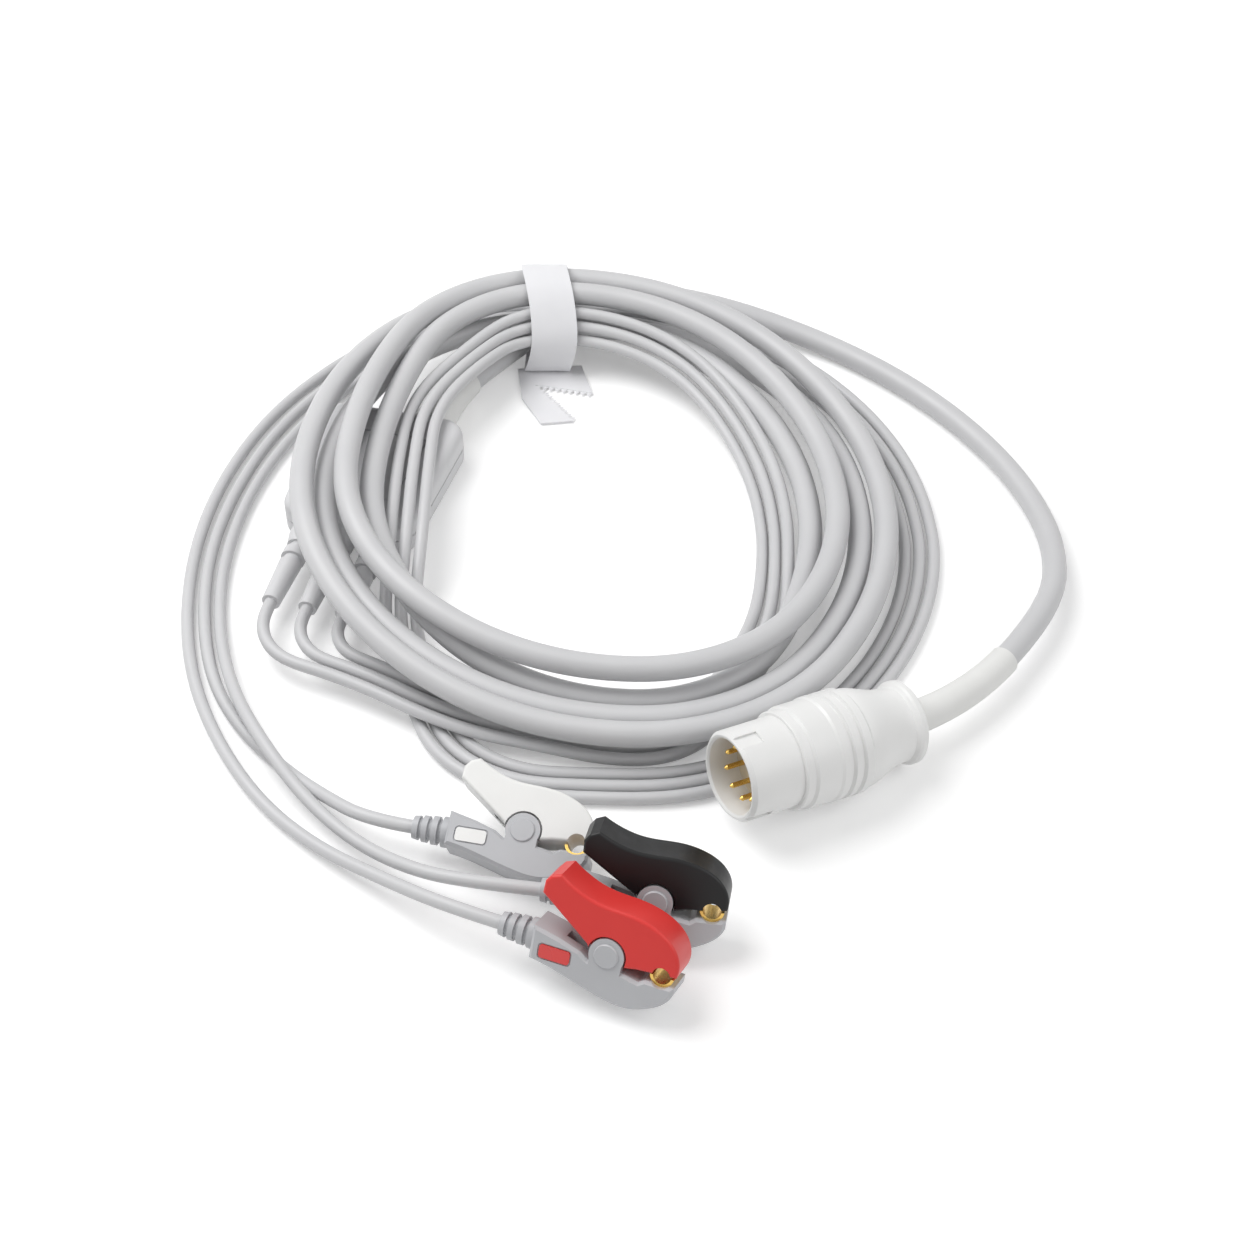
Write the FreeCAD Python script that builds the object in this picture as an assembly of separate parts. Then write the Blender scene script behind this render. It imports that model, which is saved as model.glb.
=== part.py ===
import FreeCAD, Part
import math
import os

os.makedirs("parts", exist_ok=True)
V = FreeCAD.Vector
UP = V(0, 0, 1)

# Driving sizes, in millimetres
TRUNK_D = 5.5
LEAD_D = 2.8
LOOP_GAP = 0.4

# The layout is drawn as the picture shows it: x to the right, y away, z up from the table.
# save() turns it so that the plug's axis lies along X, and shifts the origin under the middle.
LAYOUT_TURN = -29.0
LAYOUT_SHIFT = V(2.63, -8.44, 0.0)

# Trunk coil: where each turn crosses four lines, as (place, height)
TIE_X = -17.0
RIGHT_Y = 28.0
FRONT_X = 3.0
LEFT_Y = 30.0
TRUNK_TURNS = [
    ((103.0, 3.8), (53.8, 6.2), (-35.4, 7.6), (-68.2, 15.4)),
    ((97.4, 9.7), (42.4, 6.5), (-29.4, 6.2), (-57.4, 16.0)),
    ((99.4, 17.3), (48.4, 11.2), (-27.4, 14.2), (-62.8, 22.0)),
    ((105.9, 16.7), (59.6, 8.4), (-41.4, 9.2), (-72.8, 20.2)),
]
TRUNK_FIRST_X = -12.0
TRUNK_END = (108.2, 10.4)
TRUNK_TAIL = [
    (9.0, 108.2, 10.4), (30.0, 106.5, 5.6), (51.0, 97.0, 2.9), (68.5, 82.0, 2.9),
    (83.0, 64.0, 2.9), (93.5, 44.0, 2.9), (98.4, 21.5, 3.4),
]

# The three leads run side by side: middle x, y, z, heading, spread sideways, spread upwards
LEAD_RIBBON = [
    (-47.0, -25.0, 5.1, -32, 3.4, 0.0),
    (-24.0, -34.4, 4.1, -14, 3.5, 0.0),
    (3.0, -37.6, 1.4, 0, 3.6, 0.0),
    (27.0, -12.0, 1.4, 62, 3.6, 0.0),
    (34.4, 28.0, 3.3, 90, 2.8, 1.8),
    (-17.0, 92.6, 12.4, 180, 2.0, 2.7),
    (-42.0, 71.0, 13.2, -122, 3.4, 0.0),
    (-48.8, 30.0, 13.2, -90, 3.6, 0.0),
    (-45.5, -17.0, 1.5, -68, 3.3, 0.0),
    (-33.0, -41.0, 1.4, -40, 3.3, 0.0),
    (3.0, -48.6, 1.4, 0, 3.3, 0.0),
    (43.0, -30.5, 1.4, 45, 3.1, 0.0),
    (67.6, 28.0, 1.4, 90, 3.3, 0.0),
    (-17.0, 111.8, 2.9, 180, 3.3, 0.0),
]

# Free ends of the leads on the table, from the tie round the left to the clips
LEAD_TAILS = {
    "ll": [
        (-37.0, 115.1, 2.9), (-56.0, 105.5, 1.6), (-74.0, 89.0, 1.4), (-87.0, 70.0, 1.4),
        (-95.0, 48.0, 1.4), (-98.5, 26.0, 1.4), (-98.0, 4.0, 1.4), (-94.0, -17.0, 1.4),
        (-86.0, -36.0, 1.4), (-75.0, -53.0, 1.4), (-62.0, -65.5, 2.2), (-48.0, -75.5, 5.0),
    ],
    "ra": [
        (-36.0, 111.8, 2.9), (-54.0, 101.5, 1.6), (-71.5, 85.5, 1.4), (-84.0, 66.5, 1.4),
        (-91.5, 45.0, 1.4), (-95.0, 23.0, 1.4), (-94.0, 2.0, 1.4), (-89.5, -18.0, 1.4),
        (-81.5, -32.5, 1.4), (-71.5, -43.5, 1.6), (-62.0, -53.0, 4.0),
    ],
    "la": [
        (-35.0, 108.5, 2.9), (-52.0, 98.0, 1.6), (-68.5, 82.5, 1.4), (-80.5, 64.0, 1.4),
        (-88.2, 43.0, 1.4), (-91.5, 20.0, 1.4), (-90.0, -2.0, 1.4), (-84.5, -22.0, 3.6),
        (-76.0, -39.5, 6.2), (-65.0, -54.5, 3.8), (-53.5, -66.0, 3.8), (-41.0, -75.0, 6.5),
    ],
}
LEAD_SIDE = {"ll": 1, "ra": 0, "la": -1}
LEAD_APPROACH = {"ll": 12.0, "ra": 10.0, "la": 12.0}

# Clips: pivot place, heading of the nose, and how far the side faces up
CLIPS = {
    "ra": (V(-19.8, -67.0, 7.69), -12.0, 66.0),
    "la": (V(6.2, -83.6, 10.45), -8.0, 27.0),
    "ll": (V(-2.2, -96.6, 10.41), -21.0, 29.0),
}
CLIP_HALF = 4.3
CLIP_BOSS_R = 3.5
CLIP_PIN_R = 1.2
CLIP_TAIL_U = -15.0
CLIP_CORD_U = -22.5
CLIP_CORD_W = -1.9
JAW_AT = V(11.0, -0.8, 0.0)
JAW_R = 1.82
CONTACT_T = 0.58
EAR_INNER = 2.6
HUB_OUTER = 2.3
HUB_R = 2.7
SPRING_SLOT = 1.35

# Yoke: middle of its lead end, heading of its leads, and its own sizes
YOKE_AT = V(-64.0, 24.0, 0.0)
YOKE_HEADING = -104.0
YOKE_LENGTH = 40.0
YOKE_LEAD_HALF = 15.5
YOKE_TRUNK_HALF = 18.0
YOKE_HEIGHT = 10.8
YOKE_WALL = 1.8
YOKE_MID = 5.4
LEAD_PITCH = 8.5
LEAD_SLEEVE = 25.0
TRUNK_EXIT_SIDE = -8.0
TRUNK_SLEEVE_END = V(-38.2, 79.6, 4.7)

# Plug: middle of its rim, heading of its rim, nose-up tilt, and its own sizes along the axis
PLUG_HEADING = 209.0
PLUG_TILT = 8.0
PLUG_GRIP_AT = V(41.5, -46.4, 11.62)
GRIP_X = 24.0
BARREL_R = 9.5
BARREL_BORE = 8.0
BARREL_END = 12.0
STEP_END = 14.0
INSULATOR_FACE = 7.0
PIN_R = 0.55
INNER_PIN_TIP = 5.1
OUTER_PIN_TIP = 2.4
BODY_R = 10.9
GRIP_R = 11.2
COLLAR_END = 43.0
PLUG_SLEEVE_CHORD = 31.0
PLUG_SLEEVE_SWING = 11.5

# Cable tie
TIE_WIDTH = 12.2
TIE_THICK = 0.7
TIE_CLEAR = 0.15


# Small helpers

def unit(v):
    return V(v).normalize()


def level(angle):
    """A level direction at an angle from X."""
    a = math.radians(angle)
    return V(math.cos(a), math.sin(a), 0)


def frame(origin, x_axis, y_axis):
    """A placement that puts a local drawing at origin, with its X and Y along the two axes."""
    x = unit(x_axis)
    z = unit(x.cross(y_axis))
    y = z.cross(x)
    return FreeCAD.Placement(FreeCAD.Matrix(
        x.x, y.x, z.x, origin.x,
        x.y, y.y, z.y, origin.y,
        x.z, y.z, z.z, origin.z,
        0, 0, 0, 1))


def put(shape, placement):
    moved = shape.copy()
    moved.Placement = placement.multiply(moved.Placement)
    return moved


def save(name, shape):
    solids = shape.Solids
    if len(solids) != 1:
        print("CHECK", name, "has", len(solids), "solids")
    piece = solids[0].copy()
    piece.rotate(V(0, 0, 0), UP, LAYOUT_TURN)
    piece.translate(LAYOUT_SHIFT)
    piece.exportStep("parts/" + name + ".step")
    box = piece.BoundBox
    line = "%-26s volume %9.1f  z %6.2f to %6.2f  valid %s"
    print(line % (name, piece.Volume, box.ZMin, box.ZMax, piece.isValid()))
    return piece


def prism(points, z0, z1):
    """A polygon in X and Y, raised from z0 to z1."""
    corners = [V(x, y, z0) for x, y in points]
    face = Part.Face(Part.makePolygon(corners + corners[:1]))
    return face.extrude(V(0, 0, z1 - z0))


def rod(radius, z0, z1, x=0.0, y=0.0):
    return Part.makeCylinder(radius, z1 - z0, V(x, y, z0))


def block(x0, x1, y0, y1, z0, z1):
    return Part.makeBox(x1 - x0, y1 - y0, z1 - z0, V(x0, y0, z0))


def shaped(curved, corners, z0, z1):
    """A smooth line through the curved points, closed by straight runs through the corners, raised to z1."""
    line = Part.BSplineCurve()
    line.interpolate([V(x, y, z0) for x, y in curved])
    run = [V(x, y, z0) for x, y in curved[-1:] + corners + curved[:1]]
    edges = [line.toShape()] + [Part.LineSegment(a, b).toShape() for a, b in zip(run, run[1:])]
    return Part.Face(Part.Wire(edges)).extrude(V(0, 0, z1 - z0))


def turned(profile, smooth=(0, 0)):
    """A closed profile of (distance along X, radius), turned about X. smooth is the stretch with no corners."""
    corners = [V(x, r, 0) for x, r in profile]
    first, last = smooth
    edges = []
    for i, (a, b) in enumerate(zip(corners, corners[1:] + corners[:1])):
        if i == first and last > first:
            line = Part.BSplineCurve()
            line.interpolate(corners[first:last + 1])
            edges.append(line.toShape())
        elif i < first or i >= last:
            edges.append(Part.LineSegment(a, b).toShape())
    return Part.Face(Part.Wire(edges)).revolve(V(0, 0, 0), V(1, 0, 0), 360)


def rim_edges(shape, heights):
    """Edges that lie whole in one of the level planes."""
    chosen = []
    for edge in shape.Edges:
        box = edge.BoundBox
        for height in heights:
            if abs(box.ZMin - height) < 1e-4 and abs(box.ZMax - height) < 1e-4:
                chosen.append(edge)
    return chosen


def upright_edges(shape):
    return [e for e in shape.Edges if e.BoundBox.ZLength > 0.1 and e.BoundBox.XLength < 1e-4
            and e.BoundBox.YLength < 1e-4]


# Cord paths

def arc_edge(start, direction, end):
    """The arc that leaves start along direction and ends at end."""
    chord = end - start
    swing = chord.getAngle(direction)
    if swing < 1e-4:
        return Part.LineSegment(start, end).toShape()
    inward = unit(unit(chord) - direction * math.cos(swing))
    radius = chord.Length / (2 * math.sin(swing))
    centre = start + inward * radius
    middle = centre + (direction * math.sin(swing) - inward * math.cos(swing)) * radius
    return Part.Arc(start, middle, end).toShape()


def biarc(p0, t0, p1, t1):
    """Two arcs that join smoothly, from p0 along t0 to p1 along t1."""
    v = p1 - p0
    b = v.dot(t0 + t1)
    k = 2 * (1 - t0.dot(t1))
    if k < 1e-9:
        reach = v.dot(v) / (4 * v.dot(t0))
    else:
        reach = (math.sqrt(b * b + k * v.dot(v)) - b) / k
    q0 = p0 + t0 * reach
    q1 = p1 - t1 * reach
    joint = (q0 + q1) * 0.5
    return [arc_edge(p0, t0, joint), arc_edge(joint, unit(q1 - q0), p1)]


def wound(stations, straight):
    """Edges through stations of (point, direction), with a straight stretch at both ends."""
    first, leaving = stations[0]
    edges = [Part.LineSegment(first - leaving * straight, first).toShape()]
    for (p0, t0), (p1, t1) in zip(stations, stations[1:]):
        edges += biarc(p0, t0, p1, t1)
    last, arriving = stations[-1]
    edges.append(Part.LineSegment(last, last + arriving * straight).toShape())
    return edges


def laid(points, name):
    """Straight runs joined by tangent arcs."""
    edges = []
    radii = []
    here = points[0]
    for before, corner, after in zip(points, points[1:], points[2:]):
        a = corner - before
        b = after - corner
        turn = a.getAngle(b)
        reach = 0.45 * min(a.Length, b.Length)
        radius = reach / math.tan(turn / 2)
        start = corner - unit(a) * reach
        end = corner + unit(b) * reach
        middle = corner + unit(unit(b) - unit(a)) * (radius / math.cos(turn / 2) - radius)
        edges.append(Part.LineSegment(here, start).toShape())
        edges.append(Part.Arc(start, middle, end).toShape())
        radii.append(round(radius))
        here = end
    edges.append(Part.LineSegment(here, points[-1]).toShape())
    print(name, "bend radii", radii)
    return edges


def ring_at(point, direction, diameter):
    return Part.Wire([Part.makeCircle(diameter / 2, point, direction)])


def tube(edges, diameter, end_diameter=None):
    first = edges[0]
    last = edges[-1]
    rings = [ring_at(first.valueAt(first.FirstParameter), first.tangentAt(first.FirstParameter), diameter)]
    if end_diameter:
        stop = last.LastParameter
        rings.append(ring_at(last.valueAt(stop), last.tangentAt(stop), end_diameter))
    return Part.Wire(edges).makePipeShell(rings, True, False)


def walk(edges, step=1.5):
    """Points along the edges, each with its distance from the start."""
    points = []
    gone = 0.0
    for edge in edges:
        count = max(2, int(edge.Length / step) + 1)
        for i, p in enumerate(edge.discretize(count)):
            points.append((gone + edge.Length * i / (count - 1), p))
        gone += edge.Length
    return points


def least_gap(edges, diameter):
    """The least space between two stretches of one coil."""
    points = walk(edges)
    least = 1e9
    for i, (s, p) in enumerate(points):
        for t, q in points[i + 1:]:
            if t - s > 6 * diameter:
                least = min(least, p.distanceToPoint(q))
    return least - diameter


def save_cord(name, edges, diameter, coil):
    solid = tube(edges, diameter)
    length = sum(e.Length for e in edges)
    share = solid.Volume / (math.pi * diameter ** 2 / 4 * length)
    print("%s length %.0f, volume over section times length %.4f" % (name, length, share))
    if coil:
        tightest = min(e.Curve.Radius for e in edges if hasattr(e.Curve, "Radius"))
        gap = least_gap(edges, diameter)
        print("%s tightest arc %.1f, least gap %.2f, asked for %.1f" % (name, tightest, gap, LOOP_GAP))
    save(name, solid)
    return length


# Yoke, drawn with X from its lead end to its trunk end

YOKE_AXIS = level(YOKE_HEADING + 180)
yoke_frame = frame(YOKE_AT, YOKE_AXIS, UP.cross(YOKE_AXIS))


def yoke_solid(inset, z0, z1):
    a = YOKE_LEAD_HALF - inset
    b = YOKE_TRUNK_HALF - inset
    body = prism([(inset, -a), (YOKE_LENGTH - inset, -b), (YOKE_LENGTH - inset, b), (inset, a)], z0, z1)
    return body.makeFillet(5.5 - inset, upright_edges(body))


yoke_outer = yoke_solid(0.0, 0.0, YOKE_HEIGHT)
yoke_outer = yoke_outer.makeFillet(2.6, rim_edges(yoke_outer, [0.0, YOKE_HEIGHT]))
yoke_case = yoke_outer.cut(yoke_solid(YOKE_WALL, YOKE_WALL, YOKE_HEIGHT - YOKE_WALL))
groove = block(-5, 50, -25, 25, YOKE_MID - 0.2, YOKE_MID + 0.2).cut(yoke_solid(0.45, 0, YOKE_HEIGHT))
yoke_case = yoke_case.cut(groove)
for side in (-1, 0, 1):
    hole = Part.makeCylinder(2.0, 4.0, V(-1, side * LEAD_PITCH, YOKE_MID), V(1, 0, 0))
    yoke_case = yoke_case.cut(hole)
trunk_hole = Part.makeCylinder(3.2, 4.0, V(YOKE_LENGTH - 3, TRUNK_EXIT_SIDE, YOKE_MID), V(1, 0, 0))
yoke_case = yoke_case.cut(trunk_hole)
panel = prism([(7.5, -9.5), (30.5, -11.0), (30.5, 11.0), (7.5, 9.5)], YOKE_HEIGHT - 0.5, YOKE_HEIGHT + 1)
yoke_case = yoke_case.cut(panel.makeFillet(2.0, upright_edges(panel)))

lower = yoke_case.common(block(-5, 50, -25, 25, -1, YOKE_MID))
upper = yoke_case.common(block(-5, 50, -25, 25, YOKE_MID, 20))
BOARD_Z = 3.0
for x in (9.0, 31.0):
    for y in (-9.5, 9.5):
        lower = lower.fuse(rod(1.6, YOKE_WALL - 0.2, BOARD_Z, x, y))
save("yoke_lower_shell", put(lower, yoke_frame))
save("yoke_upper_shell", put(upper, yoke_frame))

plate = prism([(7.9, -9.1), (30.1, -10.6), (30.1, 10.6), (7.9, 9.1)], YOKE_HEIGHT - 0.5, YOKE_HEIGHT - 0.15)
save("yoke_label_plate", put(plate.makeFillet(1.7, upright_edges(plate)), yoke_frame))

board = block(6.0, 34.0, -12.0, 12.0, BOARD_Z, BOARD_Z + 1.2)
save("yoke_circuit_board", put(board.makeFillet(1.0, upright_edges(board)), yoke_frame))
for number, y in enumerate((-LEAD_PITCH, 0.0, LEAD_PITCH), 1):
    resistor = block(13.0, 20.0, y - 1.5, y + 1.5, BOARD_Z + 1.2, BOARD_Z + 3.2)
    resistor = resistor.makeChamfer(0.4, rim_edges(resistor, [BOARD_Z + 3.2]))
    save("yoke_resistor_%d" % number, put(resistor, yoke_frame))

LEAD_SLEEVE_PROFILE = [
    (3.0, 0.0), (3.0, 1.9), (0.0, 1.9), (0.0, 3.4), (-4.0, 3.4), (-7.0, 2.8), (-7.0, 2.1), (-8.6, 2.1),
    (-8.6, 2.8), (-11.0, 2.8), (-11.0, 2.1), (-12.6, 2.1), (-12.6, 2.6),
    (-LEAD_SLEEVE, 2.1), (-LEAD_SLEEVE, 0.0),
]
lead_starts = {}
for lead, side in LEAD_SIDE.items():
    across = UP.cross(YOKE_AXIS) * (side * LEAD_PITCH)
    at = YOKE_AT + across + V(0, 0, YOKE_MID)
    sleeve_frame = frame(at, YOKE_AXIS, UP.cross(YOKE_AXIS))
    save("yoke_lead_sleeve_" + lead, put(turned(LEAD_SLEEVE_PROFILE), sleeve_frame))
    lead_starts[lead] = at - YOKE_AXIS * LEAD_SLEEVE

trunk_exit = YOKE_AT + YOKE_AXIS * YOKE_LENGTH + UP.cross(YOKE_AXIS) * TRUNK_EXIT_SIDE + V(0, 0, YOKE_MID)
exit_arc = arc_edge(trunk_exit, YOKE_AXIS, TRUNK_SLEEVE_END)
sleeve = tube([exit_arc], 10.4, 6.8)
spigot = Part.makeCylinder(3.1, 5.0, trunk_exit - YOKE_AXIS * 3.0, YOKE_AXIS)
save("yoke_trunk_sleeve", sleeve.fuse(spigot))
trunk_leaving = unit(exit_arc.tangentAt(exit_arc.LastParameter))


# Plug, drawn with X from its rim to its collar

tilt = math.radians(PLUG_TILT)
plug_axis = unit(level(PLUG_HEADING + 180) * math.cos(tilt) - UP * math.sin(tilt))
plug_rim = PLUG_GRIP_AT - plug_axis * GRIP_X
plug_frame = frame(plug_rim, plug_axis, UP.cross(plug_axis))

barrel = turned([
    (0.0, BARREL_BORE + 0.4), (0.4, BARREL_BORE), (STEP_END + 4, BARREL_BORE), (STEP_END + 4, 9.2),
    (BARREL_END, 9.2), (BARREL_END, BARREL_R), (0.8, BARREL_R), (0.0, BARREL_R - 0.7),
])
for angle, width in ((90, 3.2), (205, 2.2), (335, 2.2)):
    key = block(-1, 5.5, -width / 2, width / 2, BARREL_R - 0.6, BARREL_R + 2)
    key.rotate(V(0, 0, 0), V(1, 0, 0), angle - 90)
    barrel = barrel.cut(key)
save("plug_front_shell", put(barrel, plug_frame))

PIN_SPOTS = [(2.6, 120 * i, INNER_PIN_TIP) for i in range(3)]
PIN_SPOTS += [(5.6, 40 * i + 10, OUTER_PIN_TIP) for i in range(9)]
insulator = turned([(INSULATOR_FACE, 0.0), (INSULATOR_FACE, BARREL_BORE), (15.0, BARREL_BORE), (15.0, 0.0)])
header = turned([(15.0, 0.0), (15.0, 7.0), (15.8, 7.0), (15.8, 0.0)])
for radius, angle, tip_x in PIN_SPOTS:
    at = V(0, radius * math.cos(math.radians(angle)), radius * math.sin(math.radians(angle)))
    hole = Part.makeCylinder(PIN_R + 0.07, 10, at + V(INSULATOR_FACE - 1, 0, 0), V(1, 0, 0))
    insulator = insulator.cut(hole)
    pin = Part.makeCylinder(PIN_R, 14.9 - tip_x, at + V(tip_x + 0.5, 0, 0), V(1, 0, 0))
    tip = Part.makeCone(0.2, PIN_R, 0.5, at + V(tip_x, 0, 0), V(1, 0, 0))
    header = header.fuse([pin, tip])
save("plug_insulator", put(insulator, plug_frame))
save("plug_pin_header", put(header.removeSplitter(), plug_frame))

step_ring = turned([
    (BARREL_END, 9.2), (BARREL_END, 10.1), (BARREL_END + 0.3, 10.4), (STEP_END, 10.4), (STEP_END, 9.2),
])
save("plug_step_ring", put(step_ring, plug_frame))

backshell = turned([
    (28.2, BODY_R - 0.2), (31.0, 10.3), (34.5, 9.1), (38.0, 8.2), (40.4, 8.0), (41.0, 8.7), (41.6, 9.0),
    (COLLAR_END - 0.4, 9.0), (COLLAR_END, 8.6), (COLLAR_END, 3.3), (34.0, 3.3), (32.0, 8.4),
    (18.2, 8.4), (18.2, 9.2), (STEP_END, 9.2), (STEP_END, BODY_R - 0.6), (STEP_END + 0.6, BODY_R),
    (20.0, BODY_R), (20.6, GRIP_R), (22.2, GRIP_R), (22.6, BODY_R - 0.4), (23.0, BODY_R - 0.4),
    (23.4, GRIP_R), (24.8, GRIP_R), (25.2, BODY_R - 0.4), (25.6, BODY_R - 0.4), (26.0, GRIP_R), (27.6, GRIP_R),
], smooth=(0, 4))
save("plug_backshell", put(backshell, plug_frame))

can = turned([(15.8, 0.0), (15.8, 7.6), (30.0, 7.6), (31.0, 5.0), (31.0, 0.0)])
hollow = turned([(16.2, 0.0), (16.2, 7.1), (29.8, 7.1), (30.5, 4.8), (30.5, 2.0), (32.0, 2.0), (32.0, 0.0)])
can = can.cut(hollow)
can = can.cut(turned([(15.0, 0.0), (15.0, 6.6), (16.4, 6.6), (16.4, 0.0)]))
save("plug_shield_can", put(can, plug_frame))
ferrule = turned([(31.0, 2.0), (31.0, 3.0), (38.0, 3.0), (38.0, 2.0)])
save("plug_crimp_ferrule", put(ferrule, plug_frame))
bundle = turned([(15.8, 0.0), (15.8, 3.2), (24.0, 1.8), (39.0, 1.8), (39.0, 0.0)])
save("plug_conductor_bundle", put(bundle, plug_frame))

collar_end = plug_rim + plug_axis * COLLAR_END
sleeve_chord = unit(level(PLUG_HEADING + 180 + PLUG_SLEEVE_SWING) - UP * 0.075)
plug_sleeve_end = collar_end + sleeve_chord * PLUG_SLEEVE_CHORD
plug_arc = arc_edge(collar_end, plug_axis, plug_sleeve_end)
plug_sleeve = tube([plug_arc], 7.4, 6.5)
plug_spigot = Part.makeCylinder(3.2, 5.0, collar_end - plug_axis * 3.5, plug_axis)
save("plug_sleeve", plug_sleeve.fuse(plug_spigot))
plug_arriving = unit(plug_arc.tangentAt(plug_arc.LastParameter))


# Clips, drawn with X to the nose, Y to the lever side and Z across

def clip_axes(heading, lean):
    u = level(heading)
    facing = level(heading - 90)
    tilt = math.radians(lean)
    w = UP * math.cos(tilt) - facing * math.sin(tilt)
    return u, w


BASE_CURVE = [
    (CLIP_TAIL_U, -5.2), (-8.7, -6.5), (0.2, -8.9), (5.2, -9.4), (9.7, -8.0), (12.5, -6.1), (13.8, -4.0),
]
BASE_CORNERS = [
    (13.8, -2.5), (8.0, -2.5), (6.8, -3.3), (3.8, -2.7), (-3.5, -2.0), (-5.4, -0.8), (-9.6, 0.5),
    (CLIP_TAIL_U, 1.7),
]
LEVER_CURVE = [
    (-11.4, 13.3), (-7.6, 11.2), (-3.9, 10.0), (0.0, 9.6), (3.6, 9.4), (8.4, 8.2), (12.7, 5.2), (14.0, 2.6),
    (13.9, -0.3),
]
LEVER_CORNERS = [
    (6.2, -0.9), (2.5, -1.6), (-2.5, -1.6), (-4.2, 1.2), (-14.4, 8.7), (-14.3, 11.2), (-13.2, 12.6),
]
BOTH_SIDES = ((-CLIP_HALF, -EAR_INNER), (EAR_INNER, CLIP_HALF))


def clip_base():
    body = shaped(BASE_CURVE, BASE_CORNERS, -CLIP_HALF, CLIP_HALF)
    body = body.makeChamfer(0.6, rim_edges(body, [-CLIP_HALF, CLIP_HALF]))
    for z0, z1 in BOTH_SIDES:
        ear = rod(CLIP_BOSS_R, z0, z1)
        neck = block(-3.2, 3.2, -4.0, 0.0, z0, z1)
        body = body.fuse([ear, neck])
    body = body.cut(rod(HUB_R + 0.65, -EAR_INNER, EAR_INNER))
    body = body.cut(block(-9.0, 3.2, -2.9, 4.0, -SPRING_SLOT, SPRING_SLOT))
    body = body.cut(rod(CLIP_PIN_R + 0.02, -CLIP_HALF - 1, CLIP_HALF + 1))
    body = body.cut(rod(JAW_R + CONTACT_T, -CLIP_HALF - 1, CLIP_HALF + 1, JAW_AT.x, JAW_AT.y))
    recess = block(-13.4, -6.6, -4.5, -1.2, CLIP_HALF - 0.3, CLIP_HALF + 1)
    return body.cut(recess.makeFillet(0.8, upright_edges(recess)))


def clip_lever():
    body = shaped(LEVER_CURVE, LEVER_CORNERS, -CLIP_HALF, CLIP_HALF)
    body = body.makeFillet(0.6, rim_edges(body, [-CLIP_HALF, CLIP_HALF]))
    body = body.fuse(rod(HUB_R, -HUB_OUTER, HUB_OUTER))
    for z0, z1 in ((-CLIP_HALF - 1, -HUB_OUTER), (HUB_OUTER, CLIP_HALF + 1)):
        body = body.cut(rod(CLIP_BOSS_R + 0.4, z0, z1))
    body = body.cut(rod(HUB_R + 0.5, -SPRING_SLOT - 0.3, SPRING_SLOT + 0.3))
    body = body.cut(block(-6.9, 1.8, 0.0, 7.0, -SPRING_SLOT - 0.3, SPRING_SLOT + 0.3))
    body = body.cut(rod(CLIP_PIN_R + 0.32, -CLIP_HALF, CLIP_HALF))
    body = body.cut(rod(JAW_R + 0.06, -CLIP_HALF - 1, CLIP_HALF + 1, JAW_AT.x, JAW_AT.y))
    return body.removeSplitter()


def clip_pin():
    pin = rod(CLIP_PIN_R, -CLIP_HALF, CLIP_HALF)
    for z0, z1 in ((-CLIP_HALF - 0.35, -CLIP_HALF), (CLIP_HALF, CLIP_HALF + 0.35)):
        head = rod(2.45, z0, z1)
        pin = pin.fuse(head.makeChamfer(0.2, rim_edges(head, [-CLIP_HALF - 0.35, CLIP_HALF + 0.35])))
    return pin.removeSplitter()


def clip_spring():
    """A turn and a half of wire round the pin, one arm on the base and one under the lever."""
    radius = 1.95
    pitch = 0.95
    angles = [-90, 0, 90, 180, 270, 360, 420]
    stations = []
    for angle in angles:
        a = math.radians(angle)
        rise = pitch * (angle - 165) / 360
        lean = pitch / (2 * math.pi * radius)
        stations.append((V(radius * math.cos(a), radius * math.sin(a), rise),
                         unit(V(-math.sin(a), math.cos(a), lean))))
    return tube(wound(stations, 4.6), 0.5)


def clip_contact():
    ring = rod(JAW_R + CONTACT_T, -3.2, 3.2, JAW_AT.x, JAW_AT.y)
    ring = ring.cut(rod(JAW_R, -4, 4, JAW_AT.x, JAW_AT.y))
    return ring.cut(block(5, 17, JAW_AT.y - 0.35, 5, -5, 5))


RELIEF_PROFILE = [
    (CLIP_TAIL_U, 0.0), (CLIP_TAIL_U, 3.1), (-16.4, 3.1), (-16.4, 2.2), (-17.3, 2.2), (-17.3, 2.9),
    (-18.5, 2.9), (-18.5, 2.1), (-19.4, 2.1), (-19.4, 2.7), (-20.5, 2.7), (-20.5, 2.0),
    (-21.3, 2.0), (-21.3, 2.5), (CLIP_CORD_U, 2.3), (CLIP_CORD_U, 0.0),
]


def clip_label():
    label = block(-13.1, -6.9, -4.2, -1.5, CLIP_HALF - 0.3, CLIP_HALF + 0.1)
    return label.makeFillet(0.6, upright_edges(label))


lead_ends = {}
for lead, (pivot, heading, lean) in CLIPS.items():
    u, w = clip_axes(heading, lean)
    place = frame(pivot, u, w)
    relief = turned(RELIEF_PROFILE)
    relief.translate(V(0, CLIP_CORD_W, 0))
    name = "clip_" + lead
    save(name + "_base", put(clip_base(), place))
    save(name + "_lever", put(clip_lever(), place))
    save(name + "_pivot_pin", put(clip_pin(), place))
    save(name + "_spring", put(clip_spring(), place))
    save(name + "_contact", put(clip_contact(), place))
    save(name + "_strain_relief", put(relief, place))
    save(name + "_label", put(clip_label(), place))
    lead_ends[lead] = (pivot + u * CLIP_CORD_U + w * CLIP_CORD_W, u)


# Trunk cord: the coil from the yoke to the tie, then the tail to the plug

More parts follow.
